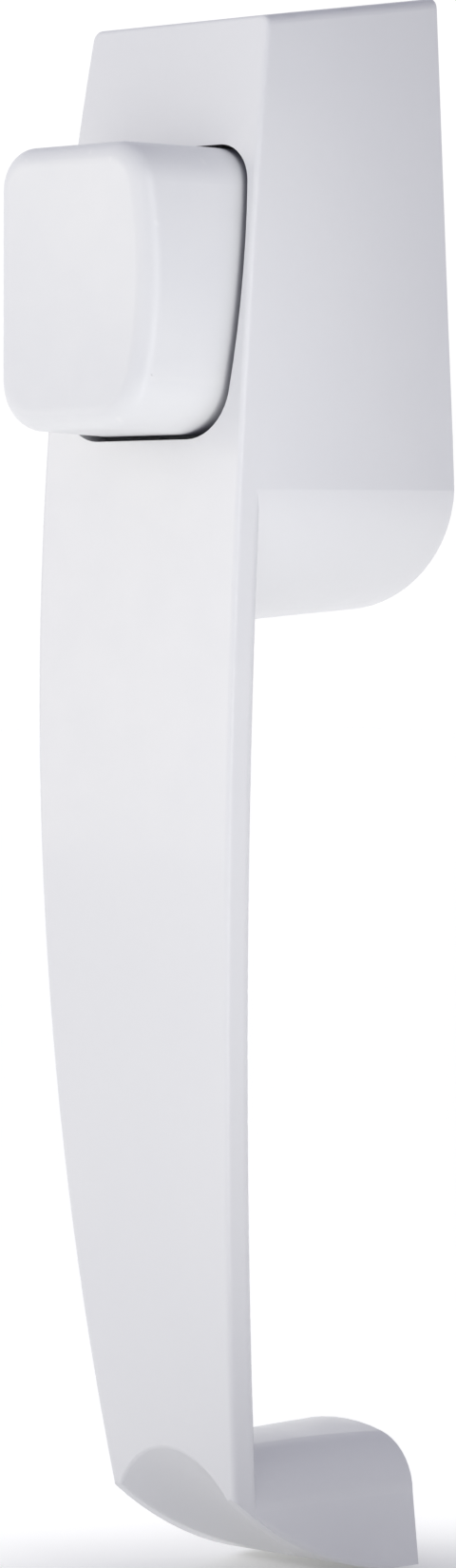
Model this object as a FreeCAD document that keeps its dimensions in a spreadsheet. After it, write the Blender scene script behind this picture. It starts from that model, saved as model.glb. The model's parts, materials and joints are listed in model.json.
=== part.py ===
import FreeCAD, Part
import os
import Sketcher
from math import asin, cos, hypot, pi, radians, sin, sqrt

V = FreeCAD.Vector

# Outside pull handle of a push-button door latch.
# Frame: the door face is the plane Y = 0 and the handle stands in front of it towards -Y.
# +Z is up. The origin is the push-button axis where it meets the door face, midway between
# the two screw posts. A "depth" is a distance in front of the door face, so Y = -depth.

DIMENSIONS = {
    # bowed front face, shared by the housing, the grip strap and the foot
    "front_top": 27.0,
    "front_bottom": -119.0,
    "front_top_depth": 23.7,
    "front_bottom_depth": 24.15,
    "front_bow": 6.1,
    "widest_level": -24.0,
    "widest_half": 13.9,
    "side_radius": 867.0,
    "strap_thickness": 3.5,
    "strap_rear_edge": 1.2,
    "strap_run_on": 8.0,
    "crease_edge": 0.5,
    "strap_draft": 0.052,
    "strap_draft_gain": 0.0003,
    # housing
    "base_top": 30.4,
    "base_top_half": 12.7,
    "shoulder_level": -18.5,
    "shoulder_half": 15.4,
    "bottom_drop": 12.5,
    "bottom_slope": 0.073,
    "bottom_blend": 0.02,
    "bottom_narrowing_depth": 29.0,
    "housing_reach": 22.0,
    "top_corner": 1.1,
    "side_wall": 1.2,
    "end_wall": 2.2,
    "front_wall": 2.6,
    # foot
    "foot_top": -114.0,
    "foot_top_fall": 0.4,
    "foot_crown_radius": 22.0,
    "foot_bottom": -128.65,
    "foot_bottom_radius": 75.0,
    "foot_corner": 6.0,
    "foot_sag": 2.15,
    "foot_base_half": 11.3,
    "foot_neck_half": 9.8,
    "foot_lean": 1.1,
    "foot_neck_depth": 21.0,
    "foot_neck_run_on": 1.2,
    "foot_flare_power": 2.6,
    "rim_lift": 0.35,
    "rim_lead": 0.5,
    "scoop_front_radius": 11.4,
    "scoop_rear_radius": 7.0,
    "scoop_tilt": 30.0,
    "scoop_ceiling": -114.25,
    "scoop_length": 36.0,
    "scoop_lead": 12.0,
    "foot_core_half": 6.5,
    "foot_core_top": -116.4,
    "foot_core_bottom": -120.6,
    "foot_core_depth": 8.0,
    "foot_core_corner": 1.5,
    # button opening in the front wall
    "hole_half_width": 12.55,
    "hole_top": 14.5,
    "hole_bottom": -14.4,
    "hole_widest_level": 1.5,
    "hole_side_radius": 80.0,
    "hole_top_corner": 4.4,
    "hole_low_corner": 5.5,
    # push button; its outline is given at button_draft_depth and tapers from there
    "button_half_width": 11.6,
    "button_top": 14.2,
    "button_bottom": -13.95,
    "button_side_draft": 0.075,
    "button_low_draft": 0.03,
    "button_draft_depth": 27.4,
    "button_top_corner": 4.4,
    "button_low_corner": 5.8,
    "button_front_depth": 38.4,
    "button_dish_radius": 75.0,
    "button_rear_depth": 21.5,
    "button_wall": 1.8,
    "button_cap_wall": 2.4,
    "button_edge": 1.9,
    "button_boss_radius": 4.1,
    "button_boss_depth": 26.0,
    # stem and what rides on it
    "stem_radius": 3.0,
    "stem_front_depth": 35.4,
    "stem_rear_depth": 3.1,
    "stem_press": 0.01,
    "stem_tap_radius": 1.5,
    "stem_tap_length": 9.0,
    "clip_depth": 5.2,
    "clip_thickness": 0.8,
    "clip_radius": 5.4,
    "clip_mouth_share": 0.85,
    "groove_radius": 2.3,
    "stop_washer_thickness": 0.8,
    "stop_washer_radius": 5.2,
    "screw_head_radius": 2.7,
    "screw_head_height": 1.1,
    "nut_flats": 6.0,
    "nut_height": 1.4,
    # guide bush, spring seat, spring and retainer plate
    "bush_rear_depth": 6.1,
    "bush_front_depth": 13.0,
    "bush_radius": 4.4,
    "bush_flange_radius": 6.0,
    "bush_flange": 1.3,
    "plate_rear_depth": 7.4,
    "plate_thickness": 1.6,
    "plate_half_width": 11.6,
    "plate_half_height": 20.4,
    "seat_radius": 7.2,
    "seat_thickness": 0.6,
    "seat_rim": 1.6,
    "spring_wire": 0.9,
    "spring_mean_radius": 5.4,
    "spring_turns": 6.0,
    # fixings
    "post_spacing": 44.45,
    "post_radius": 4.6,
    "post_tap_radius": 1.75,
    "post_tap_length": 17.0,
    "boss_radius": 2.7,
    "boss_half_width": 8.3,
    "boss_level": 17.4,
    "boss_tap_radius": 1.05,
    "boss_tap_length": 8.0,
    "peg_radius": 1.2,
    "peg_height": 2.2,
    "plate_screw_radius": 1.0,
    "plate_screw_length": 6.0,
    "plate_screw_head": 2.2,
    "plate_screw_head_height": 1.3,
    "lock_washer_thickness": 0.5,
    # clearances on the radius
    "running_gap": 0.06,
    "thread_gap": 0.02,
    "clip_gap": 0.03,
    "washer_gap": 0.1,
    "location_gap": 0.05,
    "screw_hole_gap": 0.15,
    "post_notch_gap": 0.4,
    "spring_gap": 0.03,
}

# depths just behind the door face and clear in front of the casting
BEHIND = -2.0
AHEAD = 32.0

doc = FreeCAD.newDocument("PushButtonHandle")
sheet = doc.addObject("Spreadsheet::Sheet", "Sizes")


def fill_sheet():
    """Put every driving dimension in the sheet, one row each, under its own alias."""
    for row, (alias, value) in enumerate(DIMENSIONS.items(), start=1):
        sheet.set("A%d" % row, alias.replace("_", " "))
        sheet.set("B%d" % row, str(value))
        sheet.setAlias("B%d" % row, alias)
    doc.recompute()


def size(alias):
    """A driving dimension, read back from the sheet as a plain number."""
    return float(getattr(sheet, alias))


# sketch and body helpers

def new_body(name):
    body = doc.addObject("PartDesign::Body", name)
    body.Label = name
    return body


def plane_of(body, role):
    return next(f for f in body.Origin.OriginFeatures if f.Role == role)


def new_sketch(body, name, role, depth=None):
    """Sketch on an origin plane. On XZ_Plane, depth moves it in front of the door face."""
    sketch = body.newObject("Sketcher::SketchObject", body.Name + "_" + name)
    sketch.AttachmentSupport = [(plane_of(body, role), "")]
    sketch.MapMode = "FlatFace"
    if depth:
        sketch.setExpression("AttachmentOffset.Base.z", depth)
    return sketch


def evaluate(sketch, text):
    """The number that an expression of sheet aliases gives."""
    value = sketch.evalExpression(text)
    return float(getattr(value, "Value", value))


def pin_point(sketch, geometry, end, across, up):
    """Hold one end of a sketch edge at two expressions, measured from the sketch's origin."""
    for kind, text, axis in (("DistanceX", across, -2), ("DistanceY", up, -1)):
        value = evaluate(sketch, text)
        if abs(value) < 1e-9:
            sketch.addConstraint(Sketcher.Constraint("PointOnObject", geometry, end, axis))
        else:
            index = sketch.addConstraint(
                Sketcher.Constraint(kind, -1, 1, geometry, end, value))
            sketch.setExpression("Constraints[%d]" % index, text)


def polygon(sketch, corners):
    """Closed outline of straight edges; corners are pairs of sheet expressions."""
    places = [V(evaluate(sketch, a), evaluate(sketch, b), 0) for a, b in corners]
    first = sketch.GeometryCount
    count = len(corners)
    for i in range(count):
        sketch.addGeometry(Part.LineSegment(places[i], places[(i + 1) % count]), False)
    for i in range(count):
        after = first + (i + 1) % count
        sketch.addConstraint(Sketcher.Constraint("Coincident", first + i, 2, after, 1))
    for i, (across, up) in enumerate(corners):
        pin_point(sketch, first + i, 1, across, up)


def circle(sketch, across, up, radius):
    """Full circle with its centre and radius given by sheet expressions."""
    centre = V(evaluate(sketch, across), evaluate(sketch, up), 0)
    shape = Part.Circle(centre, V(0, 0, 1), evaluate(sketch, radius))
    geometry = sketch.addGeometry(shape, False)
    index = sketch.addConstraint(Sketcher.Constraint("Radius", geometry, shape.Radius))
    sketch.setExpression("Constraints[%d]" % index, radius)
    pin_point(sketch, geometry, 3, across, up)


def turned(name, profile):
    """Round piece about the Y axis; profile is (depth, radius) pairs of expressions."""
    body = new_body(name)
    sketch = new_sketch(body, "profile", "YZ_Plane")
    polygon(sketch, [("-(%s)" % depth, radius) for depth, radius in profile])
    turn = body.newObject("PartDesign::Revolution", name + "_turn")
    turn.Profile = sketch
    turn.ReferenceAxis = (sketch, ["H_Axis"])
    turn.Angle = 360
    doc.recompute()
    return body


def pad(body, sketch, length, name):
    """Pad towards the front by an expression."""
    feature = body.newObject("PartDesign::Pad", body.Name + "_" + name)
    feature.Profile = sketch
    feature.setExpression("Length", length)
    doc.recompute()
    return feature


def pocket(body, sketch, length, name, forwards=False):
    """Pocket towards the door, or towards the front when forwards is set."""
    before = body.Shape.Volume
    feature = body.newObject("PartDesign::Pocket", body.Name + "_" + name)
    feature.Profile = sketch
    feature.Reversed = forwards
    feature.setExpression("Length", length)
    doc.recompute()
    if body.Shape.Volume > before - 1e-6:
        raise RuntimeError(body.Name + ": " + name + " cuts nothing")
    return feature


def fixed_shape(name, shape):
    """Sub-part whose shape neither a body nor a primitive describes."""
    feature = doc.addObject("Part::Feature", name)
    feature.Label = name
    feature.Shape = shape
    feature.Placement = shape.Placement
    return feature


# the casting's surfaces

def front_depth(level):
    """Depth of the bowed front face at a level: one circular arc from end to end."""
    top, bottom = size("front_top"), size("front_bottom")
    top_depth, bottom_depth = size("front_top_depth"), size("front_bottom_depth")
    bow = size("front_bow")
    chord = hypot(top - bottom, top_depth - bottom_depth)
    radius = (chord ** 2 / 4 + bow ** 2) / (2 * bow)
    behind = radius - bow
    centre_level = (top + bottom) / 2 + behind * (top_depth - bottom_depth) / chord
    centre_depth = (top_depth + bottom_depth) / 2 - behind * (top - bottom) / chord
    return centre_depth + sqrt(radius ** 2 - (level - centre_level) ** 2)


def front_half(level):
    """Half width of the front face at a level."""
    return size("widest_half") - (level - size("widest_level")) ** 2 / (2 * size("side_radius"))


def base_half(level):
    """Half width that the side surfaces reach on the door face."""
    shoulder = size("shoulder_level")
    if level >= shoulder:
        rise = (size("base_top") - level) / (size("base_top") - shoulder)
        return size("base_top_half") + rise * (size("shoulder_half") - size("base_top_half"))
    draft = size("strap_draft") + size("strap_draft_gain") * (shoulder - level)
    return front_half(level) + draft * front_depth(level)


def side_wire(depth, inset):
    """Outline of the side surfaces at one depth, for levels past both ends of the handle."""
    stations = 13
    top = size("front_top") + 9
    bottom = size("front_bottom") - size("strap_run_on") - 2
    right = []
    for i in range(stations):
        level = top + (bottom - top) * i / (stations - 1)
        share = depth / front_depth(level)
        half = base_half(level) + (front_half(level) - base_half(level)) * share - inset
        right.append(V(half, -depth, level))
    left = [V(-p.x, p.y, p.z) for p in reversed(right)]
    right_curve = Part.BSplineCurve()
    right_curve.interpolate(right)
    left_curve = Part.BSplineCurve()
    left_curve.interpolate(left)
    return Part.Wire([
        right_curve.toShape(),
        Part.LineSegment(right[-1], left[0]).toShape(),
        left_curve.toShape(),
        Part.LineSegment(left[-1], right[0]).toShape(),
    ])


def side_envelope(inset=0.0):
    """Solid between the two flared side surfaces, from behind the door face to the front."""
    return Part.makeLoft([side_wire(BEHIND, inset), side_wire(AHEAD, inset)], True, True)


def rounded_bottom(side_inset=0.0, drop_inset=0.0):
    """Block with a half-elliptical underside that closes the housing below the shoulder."""
    wires = []
    for depth in (BEHIND, AHEAD):
        share = depth / size("bottom_narrowing_depth")
        narrowing = (size("shoulder_half") - size("widest_half")) * share
        half = size("shoulder_half") + size("bottom_blend") - narrowing - side_inset
        drop = size("bottom_drop") + size("bottom_slope") * depth - drop_inset
        centre = V(0, -depth, size("shoulder_level"))
        # the ellipse's major axis comes first: it is across when the block is wider than deep
        if half >= drop:
            ellipse = Part.Ellipse(centre + V(half, 0, 0), centre + V(0, 0, -drop), centre)
            arc = Part.ArcOfEllipse(ellipse, 0, pi)
        else:
            ellipse = Part.Ellipse(centre + V(0, 0, -drop), centre + V(-half, 0, 0), centre)
            arc = Part.ArcOfEllipse(ellipse, -pi / 2, pi / 2)
        top = size("base_top") + 6
        start, end = arc.StartPoint, arc.EndPoint
        wires.append(Part.Wire([
            arc.toShape(),
            Part.LineSegment(end, V(end.x, -depth, top)).toShape(),
            Part.LineSegment(V(end.x, -depth, top), V(start.x, -depth, top)).toShape(),
            Part.LineSegment(V(start.x, -depth, top), start).toShape(),
        ]))
    return Part.makeLoft(wires, True, True)


def side_view_solid(edges):
    """Extrude a closed outline drawn in the plane X = 0 to both sides of it."""
    face = Part.Face(Part.Wire(edges))
    face.translate(V(-25, 0, 0))
    return face.extrude(V(50, 0, 0))


def bowed_arc(top, bottom, behind=0.0):
    """Front arc in the plane X = 0 between two levels, moved back by a thickness."""
    middle = (top + bottom) / 2
    points = [V(0, behind - front_depth(level), level) for level in (top, middle, bottom)]
    return Part.Arc(*points)


def line(start, end):
    return Part.LineSegment(start, end).toShape()


def housing_side_view(inset_front=0.0, inset_end=0.0, rear=0.0):
    """Region between the door face and the front face, under the sloping top."""
    top_slope = (size("base_top") - size("front_top")) / size("front_top_depth")
    top = size("front_top") - inset_end
    bottom = size("shoulder_level") - size("housing_reach")
    arc = bowed_arc(top, bottom, inset_front)
    rear_top = V(0, rear, arc.StartPoint.z + top_slope * (rear - arc.StartPoint.y))
    rear_bottom = V(0, rear, bottom)
    return side_view_solid([
        arc.toShape(),
        line(arc.EndPoint, rear_bottom),
        line(rear_bottom, rear_top),
        line(rear_top, arc.StartPoint),
    ])


def strap_side_view():
    """Band of even thickness along the whole front face, run on past its lower end."""
    low = size("front_bottom") - size("strap_run_on")
    front = bowed_arc(size("front_top"), low)
    rear = bowed_arc(size("front_top") - 3, low, size("strap_thickness"))
    return side_view_solid([
        front.toShape(),
        line(front.EndPoint, rear.EndPoint),
        rear.toShape(),
        line(rear.StartPoint, front.StartPoint),
    ])


def whole_side_view():
    """Everything between the front face and the door face."""
    arc = bowed_arc(size("front_top"), size("front_bottom") - size("strap_run_on"))
    low = V(0, arc.EndPoint.y, size("foot_bottom") - 4)
    top = V(0, 0, arc.StartPoint.z)
    return side_view_solid([
        arc.toShape(),
        line(arc.EndPoint, low),
        line(low, V(0, 0, low.z)),
        line(V(0, 0, low.z), top),
        line(top, arc.StartPoint),
    ])


def mirrored(point):
    return V(-point.x, point.y, point.z)


def foot_section(depth):
    """Arch-shaped section of the foot; it flares from a neck to the outline on the door."""
    near = max(0.0, 1 - depth / size("foot_neck_depth"))
    flare = near ** size("foot_flare_power")
    half = size("foot_neck_half") + (size("foot_base_half") - size("foot_neck_half")) * flare
    top = size("foot_top") - size("foot_top_fall") * depth / size("foot_neck_depth")
    bottom = size("foot_bottom") - 1.5
    shoulder = half - size("foot_lean")
    crown = size("foot_crown_radius")
    corner = size("foot_corner")
    turn = asin((shoulder - corner) / (crown - corner))
    centre = V(shoulder - corner, -depth, top - crown + (crown - corner) * cos(turn))

    def corner_point(angle):
        return centre + V(sin(angle), 0, cos(angle)) * corner

    crown_end = corner_point(turn)
    corner_middle = corner_point((turn + pi / 2) / 2)
    side_top = corner_point(pi / 2)
    low = V(half, -depth, bottom)
    return Part.Wire([
        line(low, side_top),
        Part.Arc(side_top, corner_middle, crown_end).toShape(),
        Part.Arc(crown_end, V(0, -depth, top), mirrored(crown_end)).toShape(),
        Part.Arc(mirrored(crown_end), mirrored(corner_middle), mirrored(side_top)).toShape(),
        line(mirrored(side_top), mirrored(low)),
        line(mirrored(low), low),
    ])


def foot_flare():
    """Foot from the door face to inside the strap, through evenly spaced sections."""
    count = 6
    reach = size("foot_neck_depth") + size("foot_neck_run_on")
    sections = [foot_section(reach * i / (count - 1)) for i in range(count)]
    return Part.makeLoft(sections, True, False)


def foot_underside():
    """Everything below the sagging rim line between the front face and the door."""
    lip = size("front_bottom")
    front = V(0, -front_depth(lip) - size("rim_lead"), lip + size("rim_lift"))
    rear = V(0, 0, size("foot_bottom"))
    middle = (front + rear) / 2 - V(0, 0, size("foot_sag"))
    low = size("foot_bottom") - 12
    behind = 3.0
    ahead = 8.0
    return side_view_solid([
        Part.Arc(front, middle, rear).toShape(),
        line(rear, V(0, behind, rear.z)),
        line(V(0, behind, rear.z), V(0, behind, low)),
        line(V(0, behind, low), V(0, front.y - ahead, low)),
        line(V(0, front.y - ahead, low), V(0, front.y - ahead, front.z + ahead)),
        line(V(0, front.y - ahead, front.z + ahead), front),
    ])


def foot_drum():
    """Large drum along Y whose underside gives the foot's lower edge its slight belly."""
    radius = size("foot_bottom_radius")
    return depth_cylinder(radius, 0, size("foot_bottom") + radius, BEHIND, AHEAD)


def foot_scoop():
    """Tilted cone that hollows the foot from below and in front."""
    tilt = radians(size("scoop_tilt"))
    radius = size("scoop_front_radius")
    along = V(0, cos(tilt), -sin(tilt))
    ceiling = V(0, -front_depth(size("front_bottom")), size("scoop_ceiling"))
    start = ceiling - V(0, 0, radius / cos(tilt)) - along * size("scoop_lead")
    cone = Part.makeCone(radius, size("scoop_rear_radius"), size("scoop_length"), start, along)
    # half a turn puts the cone's seam line below, clear of the ceiling it cuts
    cone.rotate(start, along, 180)
    return cone


def on_front(edge, tolerance=0.08):
    """True for an edge that lies in the bowed front face."""
    span = edge.LastParameter - edge.FirstParameter
    places = [edge.valueAt(edge.FirstParameter + share * span) for share in (0, 0.25, 0.5, 0.75, 1)]
    return all(abs(p.y + front_depth(p.z)) < tolerance for p in places)


def is_top_corner(edge):
    """True for the two edges between the housing's top and its sides."""
    box = edge.BoundBox
    return box.ZMin > size("front_top") - 0.1 and box.XMin * box.XMax > 0 and box.YLength > 10


def is_rim(edge):
    """True for the long falling edges round the foot's underside."""
    box = edge.BoundBox
    return box.ZMax < size("front_bottom") + 1 and box.YLength > 10 and box.ZLength > 3


def rounded(shape, alias, chosen):
    """The shape with its chosen edges rounded by a radius from the sheet."""
    return shape.makeFillet(size(alias), [edge for edge in shape.Edges if chosen(edge)])


def outer_casting():
    """The casting's outside, with its visible edges rounded."""
    envelope = side_envelope()
    housing = envelope.common(housing_side_view()).common(rounded_bottom())
    strap = envelope.common(strap_side_view())
    strap = rounded(
        strap, "strap_rear_edge", lambda edge: edge.Length > 90 and not on_front(edge))
    foot = foot_flare().common(whole_side_view()).common(foot_drum())
    casting = housing.fuse(strap).fuse(foot)
    casting = casting.cut(foot_underside()).cut(foot_scoop()).removeSplitter()
    casting = rounded(casting, "top_corner", is_top_corner)
    return rounded(casting, "crease_edge", lambda edge: on_front(edge) or is_rim(edge))


def rounded_outline(depth, half, top, bottom, top_corner, low_corner):
    """Upright rounded rectangle at one depth: crowned sides, straight top and bottom."""
    radius = size("hole_side_radius")
    widest = size("hole_widest_level")
    centre_across = half - radius
    right = []
    for end, corner in ((bottom, low_corner), (top, top_corner)):
        towards_middle = 1 if end < widest else -1
        level = end + towards_middle * corner
        reach = sqrt((radius - corner) ** 2 - (level - widest) ** 2)
        across = centre_across + reach
        scale = radius / (radius - corner)
        side = V(centre_across + reach * scale, -depth, widest + (level - widest) * scale)
        flat = V(across, -depth, end)
        to_side, to_flat = side - V(across, -depth, level), flat - V(across, -depth, level)
        middle = V(across, -depth, level) + (to_side + to_flat).normalize() * corner
        right.append((flat, middle, side))
    (low_flat, low_turn, low_side), (high_flat, high_turn, high_side) = right
    crown = V(half, -depth, widest)
    return Part.Wire([
        Part.Arc(low_flat, low_turn, low_side).toShape(),
        Part.Arc(low_side, crown, high_side).toShape(),
        Part.Arc(high_side, high_turn, high_flat).toShape(),
        line(high_flat, mirrored(high_flat)),
        Part.Arc(mirrored(high_flat), mirrored(high_turn), mirrored(high_side)).toShape(),
        Part.Arc(mirrored(high_side), mirrored(crown), mirrored(low_side)).toShape(),
        Part.Arc(mirrored(low_side), mirrored(low_turn), mirrored(low_flat)).toShape(),
        line(mirrored(low_flat), low_flat),
    ])


def opening_prism(near, far):
    """Straight prism of the button opening between two depths."""
    outline = rounded_outline(
        near, size("hole_half_width"), size("hole_top"), size("hole_bottom"),
        size("hole_top_corner"), size("hole_low_corner"))
    return Part.Face(outline).extrude(V(0, near - far, 0))


def button_block(near, far, inset=0.0):
    """Button outline between two depths; the sides and the bottom taper to the front."""
    wires = []
    for depth in (near, far):
        ahead = depth - size("button_draft_depth")
        wires.append(rounded_outline(
            depth,
            size("button_half_width") - ahead * size("button_side_draft") - inset,
            size("button_top") - inset,
            size("button_bottom") + ahead * size("button_low_draft") + inset,
            size("button_top_corner") - inset,
            size("button_low_corner") - inset))
    return Part.makeLoft(wires, True, True)


def depth_cylinder(radius, across, level, near, far):
    """Cylinder along Y between two depths."""
    return Part.makeCylinder(radius, far - near, V(across, -far, level), V(0, 1, 0))


def boss_places():
    """Plate bosses: screws on one diagonal, locating pegs on the other."""
    across, level = size("boss_half_width"), size("boss_level")
    return [(across, level), (-across, -level)], [(-across, level), (across, -level)]


def housing_cavity():
    """Hollow behind the front wall, open at the door face."""
    inside = side_envelope(size("side_wall"))
    inside = inside.common(housing_side_view(size("front_wall"), size("end_wall"), 1.5))
    return inside.common(rounded_bottom(size("side_wall"), size("end_wall")))


def handle_body():
    """One casting: hollow housing with posts and bosses, grip strap and scooped foot."""
    outside = outer_casting()
    casting = outside.cut(housing_cavity())
    plate_front = size("plate_rear_depth") + size("plate_thickness")
    screws, pegs = boss_places()
    additions = []
    for side in (1, -1):
        level = side * size("post_spacing") / 2
        additions.append(
            depth_cylinder(size("post_radius"), 0, level, 0, front_depth(level) - 1))
    for across, level in screws + pegs:
        root = front_depth(level) - 1
        additions.append(
            depth_cylinder(size("boss_radius"), across, level, plate_front, root))
    for across, level in pegs:
        peg_end = plate_front - size("peg_height")
        additions.append(
            depth_cylinder(size("peg_radius"), across, level, peg_end, plate_front + 1))
    for addition in additions:
        casting = casting.fuse(addition.common(outside))
    casting = casting.cut(opening_prism(18, 36))
    for side in (1, -1):
        level = side * size("post_spacing") / 2
        casting = casting.cut(
            depth_cylinder(size("post_tap_radius"), 0, level, -1, size("post_tap_length")))
    for across, level in screws:
        casting = casting.cut(depth_cylinder(
            size("boss_tap_radius"), across, level, plate_front - 1,
            plate_front + size("boss_tap_length")))
    core = Part.makeBox(
        2 * size("foot_core_half"), size("foot_core_depth") + 1,
        size("foot_core_top") - size("foot_core_bottom"),
        V(-size("foot_core_half"), -size("foot_core_depth"), size("foot_core_bottom")))
    core = rounded(core, "foot_core_corner", lambda edge: edge.BoundBox.YLength > 2)
    casting = casting.cut(core).removeSplitter()
    return fixed_shape("handle_body", casting)


def push_button():
    """Moulded cap: crowned sides, dished front, hollow behind, boss for the stem."""
    front = size("button_front_depth")
    rear = size("button_rear_depth")
    ahead = 4.0
    cap = button_block(rear, front + ahead)
    dish = Part.makeCylinder(
        size("button_dish_radius"), 60,
        V(-30, -front - size("button_dish_radius"), size("hole_widest_level")), V(1, 0, 0))
    cap = cap.cut(dish)
    cap = rounded(cap, "button_edge", lambda edge: edge.BoundBox.YMax < 0.5 - front)
    cap = cap.cut(button_block(
        rear - 1, front - size("button_cap_wall"), size("button_wall")))
    boss = depth_cylinder(
        size("button_boss_radius"), 0, 0, size("button_boss_depth"), front - 1)
    cap = cap.fuse(boss)
    bore = size("stem_radius") - size("stem_press")
    cap = cap.cut(depth_cylinder(bore, 0, 0, rear, size("stem_front_depth")))
    return fixed_shape("push_button", cap.removeSplitter())


def button_stem():
    """Steel push rod with a clip groove and a tapped tail."""
    clip_rear = "Sizes.clip_depth - Sizes.clip_thickness"
    return turned("button_stem", [
        ("Sizes.stem_front_depth", "0"),
        ("Sizes.stem_front_depth", "Sizes.stem_radius"),
        ("Sizes.clip_depth", "Sizes.stem_radius"),
        ("Sizes.clip_depth", "Sizes.groove_radius"),
        (clip_rear, "Sizes.groove_radius"),
        (clip_rear, "Sizes.stem_radius"),
        ("Sizes.stem_rear_depth", "Sizes.stem_radius"),
        ("Sizes.stem_rear_depth", "Sizes.stem_tap_radius"),
        ("Sizes.stem_rear_depth + Sizes.stem_tap_length", "Sizes.stem_tap_radius"),
        ("Sizes.stem_rear_depth + Sizes.stem_tap_length", "0"),
    ])


def adjusting_screw():
    """Screw in the stem's tail; its head pushes the inside latch."""
    head_front = "Sizes.stem_rear_depth - Sizes.nut_height"
    shank = "Sizes.stem_tap_radius - Sizes.thread_gap"
    tip = "Sizes.stem_rear_depth + Sizes.stem_tap_length - 1"
    return turned("adjusting_screw", [
        (tip, "0"),
        (tip, shank),
        (head_front, shank),
        (head_front, "Sizes.screw_head_radius"),
        (head_front + " - Sizes.screw_head_height", "Sizes.screw_head_radius"),
        (head_front + " - Sizes.screw_head_height", "0"),
    ])


def lock_nut():
    """Thin hexagon nut that holds the adjusting screw against the stem."""
    body = new_body("lock_nut")
    sketch = new_sketch(body, "hexagon", "XZ_Plane",
                        "Sizes.stem_rear_depth - Sizes.nut_height")
    half = "Sizes.nut_flats / 2"
    corner = "Sizes.nut_flats / (2 * cos(30 deg))"
    polygon(sketch, [
        (half, "-(%s) / 2" % corner), (half, "(%s) / 2" % corner),
        ("0", corner), ("-(%s)" % half, "(%s) / 2" % corner),
        ("-(%s)" % half, "-(%s) / 2" % corner), ("0", "-(%s)" % corner),
    ])
    circle(sketch, "0", "0", "Sizes.stem_tap_radius")
    pad(body, sketch, "Sizes.nut_height", "thickness")
    return body


def ring(name, rear, front, bore, outside):
    """Plain washer or tube between two depths."""
    return turned(name, [(front, bore), (front, outside), (rear, outside), (rear, bore)])


def retaining_clip():
    """Open clip that snaps into the stem's groove and stops it at the bush."""
    body = new_body("retaining_clip")
    rear = "Sizes.clip_depth - Sizes.clip_thickness"
    sketch = new_sketch(body, "ring", "XZ_Plane", rear)
    circle(sketch, "0", "0", "Sizes.clip_radius")
    circle(sketch, "0", "0", "Sizes.groove_radius + Sizes.clip_gap")
    pad(body, sketch, "Sizes.clip_thickness", "thickness")
    mouth = new_sketch(body, "mouth", "XZ_Plane", "Sizes.clip_depth")
    half = "Sizes.groove_radius * Sizes.clip_mouth_share"
    low = "-(Sizes.clip_radius + 1)"
    polygon(mouth, [(half, low), (half, "0"), ("-(%s)" % half, "0"), ("-(%s)" % half, low)])
    pocket(body, mouth, "Sizes.clip_thickness", "mouth_cut")
    return body


def stop_washer():
    """Washer between the clip and the bush; it sets the button's rest position."""
    return ring("stop_washer", "Sizes.clip_depth",
                "Sizes.clip_depth + Sizes.stop_washer_thickness",
                "Sizes.stem_radius + Sizes.washer_gap", "Sizes.stop_washer_radius")


def guide_bush():
    """Flanged bush that carries the stem in the retainer plate."""
    flange_front = "Sizes.bush_rear_depth + Sizes.bush_flange"
    bore = "Sizes.stem_radius + Sizes.running_gap"
    return turned("guide_bush", [
        ("Sizes.bush_front_depth", bore),
        ("Sizes.bush_front_depth", "Sizes.bush_radius"),
        (flange_front, "Sizes.bush_radius"),
        (flange_front, "Sizes.bush_flange_radius"),
        ("Sizes.bush_rear_depth", "Sizes.bush_flange_radius"),
        ("Sizes.bush_rear_depth", bore),
    ])


def spring_seat():
    """Dished washer between the retainer plate and the spring."""
    rear = "Sizes.plate_rear_depth + Sizes.plate_thickness"
    floor = "%s + Sizes.seat_thickness" % rear
    bore = "Sizes.bush_radius + Sizes.location_gap"
    inner = "Sizes.seat_radius - Sizes.seat_thickness"
    return turned("spring_seat", [
        (floor, bore),
        (floor, inner),
        ("%s + Sizes.seat_rim" % rear, inner),
        ("%s + Sizes.seat_rim" % rear, "Sizes.seat_radius"),
        (rear, "Sizes.seat_radius"),
        (rear, bore),
    ])


def retainer_plate():
    """Steel plate across the housing, notched round the posts, with peg and screw holes."""
    body = new_body("retainer_plate")
    sketch = new_sketch(body, "blank", "XZ_Plane", "Sizes.plate_rear_depth")
    half, tall = "Sizes.plate_half_width", "Sizes.plate_half_height"
    polygon(sketch, [(half, "-" + tall), (half, tall), ("-" + half, tall),
                     ("-" + half, "-" + tall)])
    pad(body, sketch, "Sizes.plate_thickness", "thickness")
    front = "Sizes.plate_rear_depth + Sizes.plate_thickness"
    holes = new_sketch(body, "holes", "XZ_Plane", front)
    circle(holes, "0", "0", "Sizes.bush_radius")
    for x, z in (("", ""), ("-", "-")):
        circle(holes, x + "Sizes.boss_half_width", z + "Sizes.boss_level",
               "Sizes.plate_screw_radius + Sizes.screw_hole_gap")
    for x, z in (("-", ""), ("", "-")):
        circle(holes, x + "Sizes.boss_half_width", z + "Sizes.boss_level",
               "Sizes.peg_radius + Sizes.location_gap")
    pocket(body, holes, "Sizes.plate_thickness", "hole_cut")
    notches = new_sketch(body, "notches", "XZ_Plane", front)
    for z in ("", "-"):
        circle(notches, "0", z + "Sizes.post_spacing / 2",
               "Sizes.post_radius + Sizes.post_notch_gap")
    pocket(body, notches, "Sizes.plate_thickness", "notch_cut")
    return body


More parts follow.
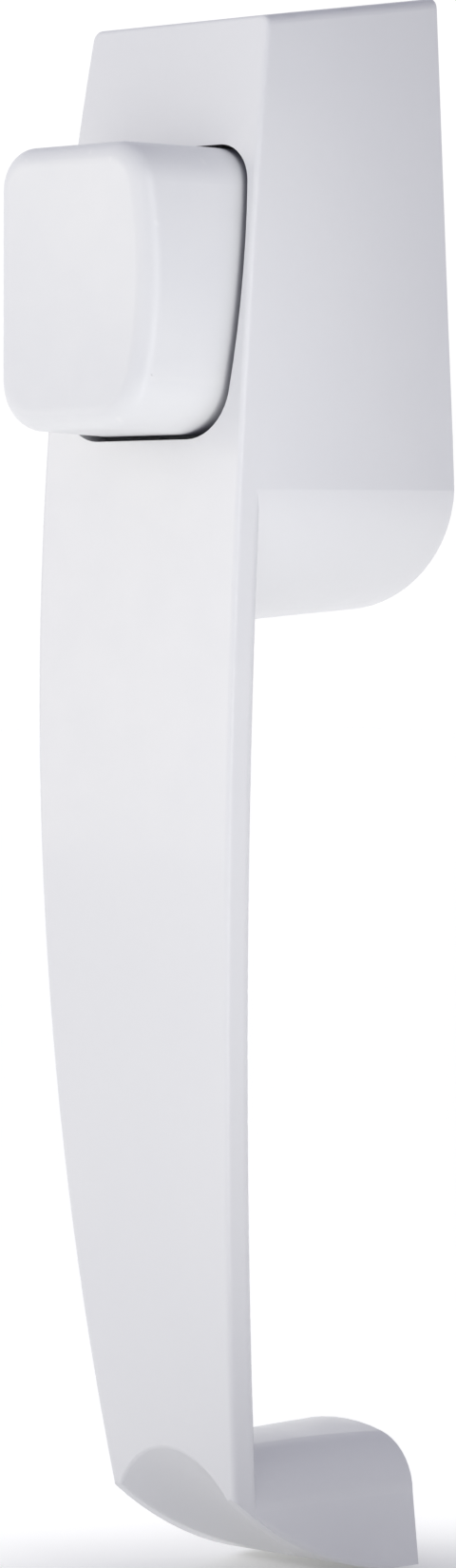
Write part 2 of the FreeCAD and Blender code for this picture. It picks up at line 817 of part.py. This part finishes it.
def diagonal_pair(name, rounds):
    """Cylinders on the two plate screw axes; each is (rear depth, front depth, radius)."""
    cylinders = []
    for side, label in ((1, "upper"), (-1, "lower")):
        for number, (rear, front, radius) in enumerate(rounds):
            cylinder = doc.addObject("Part::Cylinder", "%s_%s_%d" % (name, label, number))
            cylinder.setExpression("Radius", radius)
            cylinder.setExpression("Height", "(%s) - (%s)" % (front, rear))
            cylinder.setExpression("Placement.Base.x", "%d * Sizes.boss_half_width" % side)
            cylinder.setExpression("Placement.Base.y", "-(%s)" % rear)
            cylinder.setExpression("Placement.Base.z", "%d * Sizes.boss_level" % side)
            cylinder.Placement.Rotation = FreeCAD.Rotation(V(1, 0, 0), 90)
            cylinders.append(cylinder)
    return cylinders


def plate_screws():
    """Two pan-head screws that hold the retainer plate to its bosses."""
    under_head = "Sizes.plate_rear_depth - Sizes.lock_washer_thickness"
    pieces = diagonal_pair("plate_screw", [
        (under_head + " - Sizes.plate_screw_head_height", under_head, "Sizes.plate_screw_head"),
        (under_head, under_head + " + Sizes.plate_screw_length", "Sizes.plate_screw_radius"),
    ])
    joined = doc.addObject("Part::MultiFuse", "plate_screws")
    joined.Shapes = pieces
    joined.Label = "plate_screws"
    return joined


def lock_washers():
    """Two spring washers under the plate screws' heads."""
    rear = "Sizes.plate_rear_depth - Sizes.lock_washer_thickness"
    front = "Sizes.plate_rear_depth"
    outside = "Sizes.plate_screw_head - Sizes.washer_gap"
    bore = "Sizes.plate_screw_radius + Sizes.washer_gap"
    discs = diagonal_pair("washer_disc", [(rear, front, outside)])
    bores = diagonal_pair("washer_bore", [(rear, front, bore)])
    disc_pair = doc.addObject("Part::MultiFuse", "washer_discs")
    disc_pair.Shapes = discs
    bore_pair = doc.addObject("Part::MultiFuse", "washer_bores")
    bore_pair.Shapes = bores
    rings = doc.addObject("Part::Cut", "lock_washers")
    rings.Base = disc_pair
    rings.Tool = bore_pair
    rings.Label = "lock_washers"
    return rings


def return_spring():
    """Compression spring between the spring seat and the inside of the cap."""
    wire = size("spring_wire")
    seat_top = size("plate_rear_depth") + size("plate_thickness") + size("seat_thickness")
    cap_inside = size("button_front_depth") - size("button_cap_wall")
    low = seat_top + wire / 2 + size("spring_gap")
    high = cap_inside - wire / 2 - size("spring_gap")
    pitch = (high - low) / size("spring_turns")
    helix = Part.makeHelix(pitch, high - low, size("spring_mean_radius"))
    start = V(size("spring_mean_radius"), 0, 0)
    section = Part.Wire(Part.makeCircle(wire / 2, start, V(0, 1, 0)))
    coil = Part.Wire(helix.Edges).makePipeShell([section], True, True)
    coil.rotate(V(0, 0, 0), V(1, 0, 0), 90)
    coil.translate(V(0, -low, 0))
    return fixed_shape("return_spring", coil)


fill_sheet()
SUB_PARTS = [
    handle_body(), push_button(), button_stem(), adjusting_screw(), lock_nut(),
    retaining_clip(), stop_washer(), guide_bush(), spring_seat(), return_spring(),
    retainer_plate(), plate_screws(), lock_washers(),
]
doc.recompute()
for thing in doc.Objects:
    if "Invalid" in thing.State or "Error" in thing.State:
        raise RuntimeError(thing.Label + " failed: " + ", ".join(thing.State))
os.makedirs("parts", exist_ok=True)
for part in SUB_PARTS:
    shape = part.Shape
    if shape.isNull() or not shape.isValid() or not shape.Solids:
        raise RuntimeError(part.Label + " has no valid solid")
    shape.exportStep("parts/%s.step" % part.Label)
    print("%-18s solids %d volume %.1f mm3" % (part.Label, len(shape.Solids), shape.Volume))
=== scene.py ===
import json
import math

import bpy
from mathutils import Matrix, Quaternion, Vector


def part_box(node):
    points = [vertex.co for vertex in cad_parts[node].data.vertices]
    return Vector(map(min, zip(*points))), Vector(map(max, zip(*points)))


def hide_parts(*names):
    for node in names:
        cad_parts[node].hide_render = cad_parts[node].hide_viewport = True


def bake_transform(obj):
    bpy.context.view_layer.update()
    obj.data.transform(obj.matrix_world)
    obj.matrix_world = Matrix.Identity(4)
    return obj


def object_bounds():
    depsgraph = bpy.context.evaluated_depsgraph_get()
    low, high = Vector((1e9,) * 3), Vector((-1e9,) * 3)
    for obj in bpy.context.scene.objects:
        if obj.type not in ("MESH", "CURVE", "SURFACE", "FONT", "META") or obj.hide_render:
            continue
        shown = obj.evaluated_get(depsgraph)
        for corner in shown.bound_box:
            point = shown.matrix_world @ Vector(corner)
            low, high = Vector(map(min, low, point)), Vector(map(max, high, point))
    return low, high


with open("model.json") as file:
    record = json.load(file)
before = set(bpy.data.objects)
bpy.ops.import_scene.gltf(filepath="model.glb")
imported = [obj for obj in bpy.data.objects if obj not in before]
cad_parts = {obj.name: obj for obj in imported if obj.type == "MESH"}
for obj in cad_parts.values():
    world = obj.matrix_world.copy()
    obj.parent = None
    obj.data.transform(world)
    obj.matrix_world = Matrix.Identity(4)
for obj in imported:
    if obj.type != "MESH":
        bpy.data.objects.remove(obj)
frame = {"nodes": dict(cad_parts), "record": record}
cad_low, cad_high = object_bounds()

# White push-button pull handle. The frame's metres: the door face is Y = 0, the handle stands
# in front of it towards -Y, and +Z is up.


# materials
# Noise scales are per metre: 1000 gives features of about a millimetre.

class Nodes:
    """Short hand for one material's node tree."""

    def __init__(self, name):
        self.material = bpy.data.materials.new(name)
        self.material.use_nodes = True
        self.tree = self.material.node_tree
        self.shader = self.tree.nodes["Principled BSDF"]
        self.place = self.add("ShaderNodeTexCoord").outputs["Object"]

    def add(self, kind, **settings):
        node = self.tree.nodes.new(kind)
        for key, value in settings.items():
            setattr(node, key, value)
        return node

    def link(self, output, socket):
        self.tree.links.new(output, socket)

    def stretched(self, across, along, up):
        """The surface's place, drawn out unevenly, for marks that run one way."""
        node = self.add("ShaderNodeMapping")
        node.inputs["Scale"].default_value = (across, along, up)
        self.link(self.place, node.inputs["Vector"])
        return node.outputs["Vector"]

    def noise(self, scale, detail=4.0, place=None):
        node = self.add("ShaderNodeTexNoise")
        node.inputs["Scale"].default_value = scale
        node.inputs["Detail"].default_value = detail
        self.link(place or self.place, node.inputs["Vector"])
        return node.outputs["Fac"]

    def remap(self, value, low, high, start=0.3, end=0.7):
        """Ease a value between start and end into low to high."""
        node = self.add("ShaderNodeMapRange", interpolation_type="SMOOTHSTEP")
        node.inputs["From Min"].default_value = start
        node.inputs["From Max"].default_value = end
        node.inputs["To Min"].default_value = low
        node.inputs["To Max"].default_value = high
        self.link(value, node.inputs["Value"])
        return node.outputs["Result"]

    def blend(self, value, first, second):
        """Mix of two colours; either may be a plain colour or another output."""
        node = self.add("ShaderNodeMix", data_type="RGBA")
        self.link(value, node.inputs["Factor"])
        for socket, colour in (("A", first), ("B", second)):
            if isinstance(colour, tuple):
                node.inputs[socket].default_value = (*colour, 1)
            else:
                self.link(colour, node.inputs[socket])
        return node.outputs["Result"]

    def product(self, first, second):
        node = self.add("ShaderNodeMath", operation="MULTIPLY")
        self.link(first, node.inputs[0])
        self.link(second, node.inputs[1])
        return node.outputs["Value"]

    def edges(self, start, end):
        """One on sharp outer edges and nought on flat ground."""
        ground = self.add("ShaderNodeNewGeometry")
        return self.remap(ground.outputs["Pointiness"], 0.0, 1.0, start, end)

    def painted_gap_shade(self, reach, start, end):
        """Ambient-occlusion mask for painted shade: one deep in narrow gaps and nought on open
        ground.
        """
        shade = self.add("ShaderNodeAmbientOcclusion", samples=16)
        shade.inputs["Distance"].default_value = reach
        return self.remap(shade.outputs["AO"], 1.0, 0.0, start, end)

    def colour(self, output):
        self.link(output, self.shader.inputs["Base Color"])

    def roughness(self, output):
        self.link(output, self.shader.inputs["Roughness"])

    def bump(self, height, strength, distance, under=None):
        node = self.add("ShaderNodeBump")
        node.inputs["Strength"].default_value = strength
        node.inputs["Distance"].default_value = distance
        self.link(height, node.inputs["Height"])
        if under:
            self.link(under, node.inputs["Normal"])
        self.link(node.outputs["Normal"], self.shader.inputs["Normal"])
        return node.outputs["Normal"]


def white_enamel():
    """Baked enamel on the casting: tone drift, mottle, orange peel, a painted highlight on
    sharp edges and painted shade in narrow gaps.
    """
    n = Nodes("white_enamel")
    drift = n.remap(n.noise(38, 3), 0.0, 1.0, 0.2, 0.8)
    coat = n.blend(drift, (0.772, 0.774, 0.786), (0.797, 0.797, 0.800))
    mottle = n.remap(n.noise(900, 2), 0.0, 0.3, 0.1, 0.9)
    coat = n.blend(mottle, coat, (0.77, 0.77, 0.775))
    # Painted highlight: sharp edges made lighter, broken up by noise, to stand in for the shine
    # along the creases.
    painted_edge_highlight = n.product(n.edges(0.54, 0.66), n.noise(260, 3))
    coat = n.blend(painted_edge_highlight, coat, (0.85, 0.85, 0.85))
    # Painted shade: the colour is darkened where ambient occlusion finds narrow gaps.
    n.colour(n.blend(n.painted_gap_shade(0.0015, 0.15, 0.6), coat, (0.30, 0.30, 0.33)))
    n.roughness(n.remap(n.noise(320, 2), 0.30, 0.40, 0.2, 0.8))
    n.shader.inputs["Coat Weight"].default_value = 0.25
    n.shader.inputs["Coat Roughness"].default_value = 0.1
    peel = n.bump(n.noise(1100, 2), 0.05, 0.0002)
    n.bump(n.noise(160, 2), 0.04, 0.0006, peel)
    return n.material


def white_button():
    """Moulded button under a satin white finish, with a painted highlight on its edges and
    painted shade in the gap.
    """
    n = Nodes("white_button")
    drift = n.remap(n.noise(60, 3), 0.0, 1.0)
    skin = n.blend(drift, (0.785, 0.79, 0.80), (0.81, 0.812, 0.815))
    # Painted highlight: the button's sharp edges made lighter, broken up by noise.
    painted_rim_highlight = n.product(n.edges(0.53, 0.64), n.noise(300, 3))
    skin = n.blend(painted_rim_highlight, skin, (0.86, 0.86, 0.855))
    # Painted shade: the colour is darkened deep in the gap round the button.
    n.colour(n.blend(n.painted_gap_shade(0.0015, 0.2, 0.75), skin, (0.22, 0.22, 0.27)))
    n.roughness(n.remap(n.noise(500, 2), 0.32, 0.46, 0.0, 1.0))
    n.shader.inputs["Coat Weight"].default_value = 0.12
    n.shader.inputs["Coat Roughness"].default_value = 0.2
    n.bump(n.noise(1800, 2), 0.06, 0.0001)
    return n.material


def metal(name, dark, light, rough_low, rough_high, scale, turned):
    """Steel with mottling and marks that ring the Y axis; bright where edges are scuffed."""
    n = Nodes(name)
    mottle = n.remap(n.noise(scale, 5), 0.0, 1.0)
    rings = n.noise(scale, 3, n.stretched(0.4, turned, 0.4))
    body = n.blend(mottle, dark, light)
    body = n.blend(n.remap(rings, 0.0, 0.5), body, tuple(0.8 * c for c in dark))
    n.colour(n.blend(n.edges(0.52, 0.62), body, tuple(min(1.0, 1.25 * c) for c in light)))
    n.roughness(n.remap(rings, rough_low, rough_high))
    n.shader.inputs["Metallic"].default_value = 1.0
    n.bump(rings, 0.12, 0.0001)
    return n.material


def zinc_plate():
    """Bright zinc with faint spangle, a cool and a straw tint, and rolled grain."""
    n = Nodes("zinc_plate")
    spangle = n.add("ShaderNodeTexVoronoi")
    spangle.inputs["Scale"].default_value = 420
    n.link(n.place, spangle.inputs["Vector"])
    crystals = n.remap(spangle.outputs["Distance"], 0.0, 1.0, 0.1, 0.8)
    body = n.blend(crystals, (0.60, 0.62, 0.65), (0.70, 0.70, 0.67))
    n.colour(n.blend(n.edges(0.52, 0.62), body, (0.8, 0.8, 0.8)))
    n.roughness(n.remap(n.noise(500, 4), 0.3, 0.46))
    n.shader.inputs["Metallic"].default_value = 1.0
    n.bump(n.noise(900, 3, n.stretched(6, 1, 0.6)), 0.1, 0.0001)
    return n.material


def nylon():
    """Natural nylon: slightly clouded, soft sheen, moulding grain."""
    n = Nodes("nylon")
    body = n.blend(n.noise(300), (0.72, 0.69, 0.60), (0.79, 0.77, 0.69))
    n.colour(n.blend(n.edges(0.52, 0.64), body, (0.84, 0.83, 0.77)))
    n.roughness(n.remap(n.noise(900), 0.38, 0.55))
    n.shader.inputs["Subsurface Weight"].default_value = 0.1
    n.bump(n.noise(2500, 2), 0.1, 0.0001)
    return n.material


def steel():
    """Bright turned steel of the stem, the screws and the nut."""
    return metal("steel", dark=(0.50, 0.50, 0.51), light=(0.62, 0.62, 0.63),
                 rough_low=0.22, rough_high=0.38, scale=600, turned=9)


def spring_steel():
    """Darker oiled steel of the spring, the clip and the lock washers."""
    return metal("spring_steel", dark=(0.28, 0.28, 0.30), light=(0.42, 0.42, 0.43),
                 rough_low=0.28, rough_high=0.45, scale=900, turned=3)


MATERIALS = {
    "white_enamel": white_enamel(),
    "white_button": white_button(),
    "steel": steel(),
    "spring_steel": spring_steel(),
    "zinc_plate": zinc_plate(),
    "nylon": nylon(),
}

SLOT_OF = {part["node"]: part["material_slot"] for part in frame["record"]["subparts"]}
for node_name, node_object in frame["nodes"].items():
    node_object.data.materials.clear()
    node_object.data.materials.append(MATERIALS[SLOT_OF[node_name]])


# return spring: closed and ground end coils, open coils between them

WIRE_RADIUS = 0.00045
END_TURNS = 1.0
ACTIVE_TURNS = 5.5
PITCH_WANDER = 0.02
GRIND_DEPTH = 0.0003
POINTS_PER_TURN = 40
WIRE_SIDES = 14


def spring_level(turn, rear, front):
    """Distance along Y of the wire's centre after a number of turns from the seat."""
    wire = 2 * WIRE_RADIUS
    end_rise = END_TURNS * wire
    total = 2 * END_TURNS + ACTIVE_TURNS
    if turn < END_TURNS:
        return rear - turn * wire
    if turn > total - END_TURNS:
        return front + (total - turn) * wire
    share = (turn - END_TURNS) / ACTIVE_TURNS
    wandered = share + PITCH_WANDER * math.sin(2 * math.pi * share)
    return (rear - end_rise) + wandered * ((front + end_rise) - (rear - end_rise))


def coil_spring(name, stand_in):
    """Wire swept along the coil inside the stand-in's box, with both ends ground flat."""
    low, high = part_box(stand_in)
    mean_radius = (high[0] - low[0]) / 2 - WIRE_RADIUS
    rear, front = high[1] - WIRE_RADIUS + GRIND_DEPTH, low[1] + WIRE_RADIUS - GRIND_DEPTH
    total = 2 * END_TURNS + ACTIVE_TURNS
    count = int(total * POINTS_PER_TURN)
    vertices = []
    for i in range(count + 1):
        turn = total * i / count
        angle = 2 * math.pi * turn
        outward = Vector((math.cos(angle), 0, math.sin(angle)))
        centre = outward * mean_radius + Vector((0, spring_level(turn, rear, front), 0))
        for side in range(WIRE_SIDES):
            around = 2 * math.pi * side / WIRE_SIDES
            ring = outward * math.cos(around) + Vector((0, math.sin(around), 0))
            point = centre + ring * WIRE_RADIUS
            point.y = min(max(point.y, low[1]), high[1])
            vertices.append(point)
    faces = []
    for i in range(count):
        for side in range(WIRE_SIDES):
            after = (side + 1) % WIRE_SIDES
            here, there = i * WIRE_SIDES, (i + 1) * WIRE_SIDES
            faces.append((here + side, here + after, there + after, there + side))
    faces.append(tuple(range(WIRE_SIDES)))
    faces.append(tuple(count * WIRE_SIDES + side for side in reversed(range(WIRE_SIDES))))
    mesh = bpy.data.meshes.new(name)
    mesh.from_pydata(vertices, [], faces)
    mesh.validate()
    for face in mesh.polygons:
        face.use_smooth = len(face.vertices) == 4
    mesh.materials.append(MATERIALS[SLOT_OF[stand_in]])
    spring = bpy.data.objects.new(name, mesh)
    bpy.context.scene.collection.objects.link(spring)
    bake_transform(spring)
    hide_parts(stand_in)


coil_spring("return_spring_coil", "return_spring")


# camera at the photograph's viewing angle, aimed a little off the middle of the CAD box

AZIMUTH = math.radians(45.0)
ELEVATION = math.radians(1.754)
ROLL = 0.0026
DISTANCE = 0.56332
LENS = 129.36
SENSOR_WIDTH = 36.0
CLIP_START = 0.01
AIM_RIGHT = 0.00222
AIM_UP = 0.00066

back = Vector((math.sin(AZIMUTH) * math.cos(ELEVATION),
               -math.cos(AZIMUTH) * math.cos(ELEVATION), math.sin(ELEVATION)))
right = Vector((math.cos(AZIMUTH), math.sin(AZIMUTH), 0))
low_corner, high_corner = Vector(cad_low), Vector(cad_high)
middle = (low_corner + high_corner) / 2
aim = middle + right * AIM_RIGHT + Vector((0, 0, AIM_UP))

camera = bpy.data.objects.new("camera", bpy.data.cameras.new("camera"))
bpy.context.scene.collection.objects.link(camera)
camera.location = aim + back * DISTANCE
level_view = back.to_track_quat("Z", "Y")
camera.rotation_euler = (level_view @ Quaternion((0, 0, 1), ROLL)).to_euler()
camera.data.lens = LENS
camera.data.sensor_width = SENSOR_WIDTH
camera.data.clip_start = CLIP_START
bpy.context.scene.camera = camera


# floor, with its shade centred a little towards the camera

VIEW_AHEAD = Vector((-back.x, -back.y, 0)).normalized()
FLOOR_HALF_SIDE = 3.0
FLOOR_COLOUR = (0.6, 0.6, 0.62, 1)
GLOW_COLOUR = (1.0, 1.0, 0.96, 1)
FLOOR_GLOW = 0.66
SHADE_GLOW = 0.16
SHADE_AHEAD = 0.040
SHADE_INNER = 0.020
SHADE_OUTER = 0.075


def floor(half_side, level):
    """Pale floor that glows like a lit sweep, with a soft shade round the foot."""
    n = Nodes("floor_paint")
    n.shader.inputs["Roughness"].default_value = 0.9
    n.shader.inputs["Base Color"].default_value = FLOOR_COLOUR
    n.shader.inputs["Emission Color"].default_value = GLOW_COLOUR
    from_foot = n.add("ShaderNodeVectorMath", operation="DISTANCE")
    n.link(n.place, from_foot.inputs[0])
    from_foot.inputs[1].default_value = Vector((0, 0, level)) - VIEW_AHEAD * SHADE_AHEAD
    glow = n.remap(from_foot.outputs["Value"], SHADE_GLOW, FLOOR_GLOW, SHADE_INNER, SHADE_OUTER)
    n.link(glow, n.shader.inputs["Emission Strength"])
    mesh = bpy.data.meshes.new("floor")
    corners = [(-half_side, -half_side, level), (half_side, -half_side, level),
               (half_side, half_side, level), (-half_side, half_side, level)]
    mesh.from_pydata(corners, [], [(0, 1, 2, 3)])
    mesh.materials.append(n.material)
    ground = bpy.data.objects.new("floor", mesh)
    bpy.context.scene.collection.objects.link(ground)


floor(FLOOR_HALF_SIDE, low_corner.z)


# lights and world: two weak lamps close to the right side, a key lamp at the front left

def softbox(name, place, width, height, power, colour):
    """Upright area light at a place off the handle's middle, facing its long axis."""
    data = bpy.data.lights.new(name, "AREA")
    data.shape = "RECTANGLE"
    data.size = width
    data.size_y = height
    data.energy = power
    data.color = colour
    lamp = bpy.data.objects.new(name, data)
    lamp.location = middle + Vector(place)
    outward = Vector((place[0], place[1], 0))
    lamp.rotation_euler = outward.to_track_quat("Z", "Y").to_euler()
    lamp.visible_camera = False
    bpy.context.scene.collection.objects.link(lamp)


softbox("near_right", place=(0.058, -0.020, 0.004), width=0.02, height=0.14,
        power=0.0145, colour=(1.0, 1.0, 0.97))
softbox("near_housing", place=(0.046, -0.014, 0.062), width=0.02, height=0.06,
        power=0.0016, colour=(0.95, 0.98, 1.0))
softbox("key_left", place=(-0.25, -0.25, 0.07), width=0.14, height=0.20,
        power=0.13, colour=(1.0, 0.95, 0.82))


def lobe(tree, place, direction, start, end):
    """One round a direction and nought away from it, eased between two cosines."""
    cosine = tree.nodes.new("ShaderNodeVectorMath")
    cosine.operation = "DOT_PRODUCT"
    cosine.inputs[1].default_value = Vector(direction).normalized()
    tree.links.new(place, cosine.inputs[0])
    eased = tree.nodes.new("ShaderNodeMapRange")
    eased.interpolation_type = "SMOOTHSTEP"
    eased.inputs["From Min"].default_value = start
    eased.inputs["From Max"].default_value = end
    tree.links.new(cosine.outputs["Value"], eased.inputs["Value"])
    return eased.outputs["Result"]


FRONT_SIDE = (-0.6, -0.8, 0.4)


def studio_world(even, front, backdrop):
    """Soft surroundings: an even part, a lobe at the front left, and a white backdrop."""
    world = bpy.data.worlds.new("studio")
    world.use_nodes = True
    tree = world.node_tree
    background = tree.nodes["Background"]
    place = tree.nodes.new("ShaderNodeTexCoord").outputs["Generated"]
    lobes = ((FRONT_SIDE, -0.2, 0.9, front), (VIEW_AHEAD, 0.75, 0.95, backdrop))
    previous = tree.nodes.new("ShaderNodeRGB").outputs["Color"]
    previous.default_value = (*even, 1)
    for direction, start, end, colour in lobes:
        level = lobe(tree, place, direction, start, end)
        add = tree.nodes.new("ShaderNodeMix")
        add.data_type = "RGBA"
        add.blend_type = "ADD"
        add.clamp_result = False
        add.inputs["B"].default_value = (*colour, 1)
        tree.links.new(level, add.inputs["Factor"])
        tree.links.new(previous, add.inputs["A"])
        previous = add.outputs["Result"]
    tree.links.new(previous, background.inputs["Color"])
    bpy.context.scene.world = world


studio_world(even=(0.18, 0.18, 0.255), front=(0.70, 0.705, 0.69), backdrop=(0.83, 0.83, 0.76))
bpy.context.scene.view_settings.view_transform = "Standard"
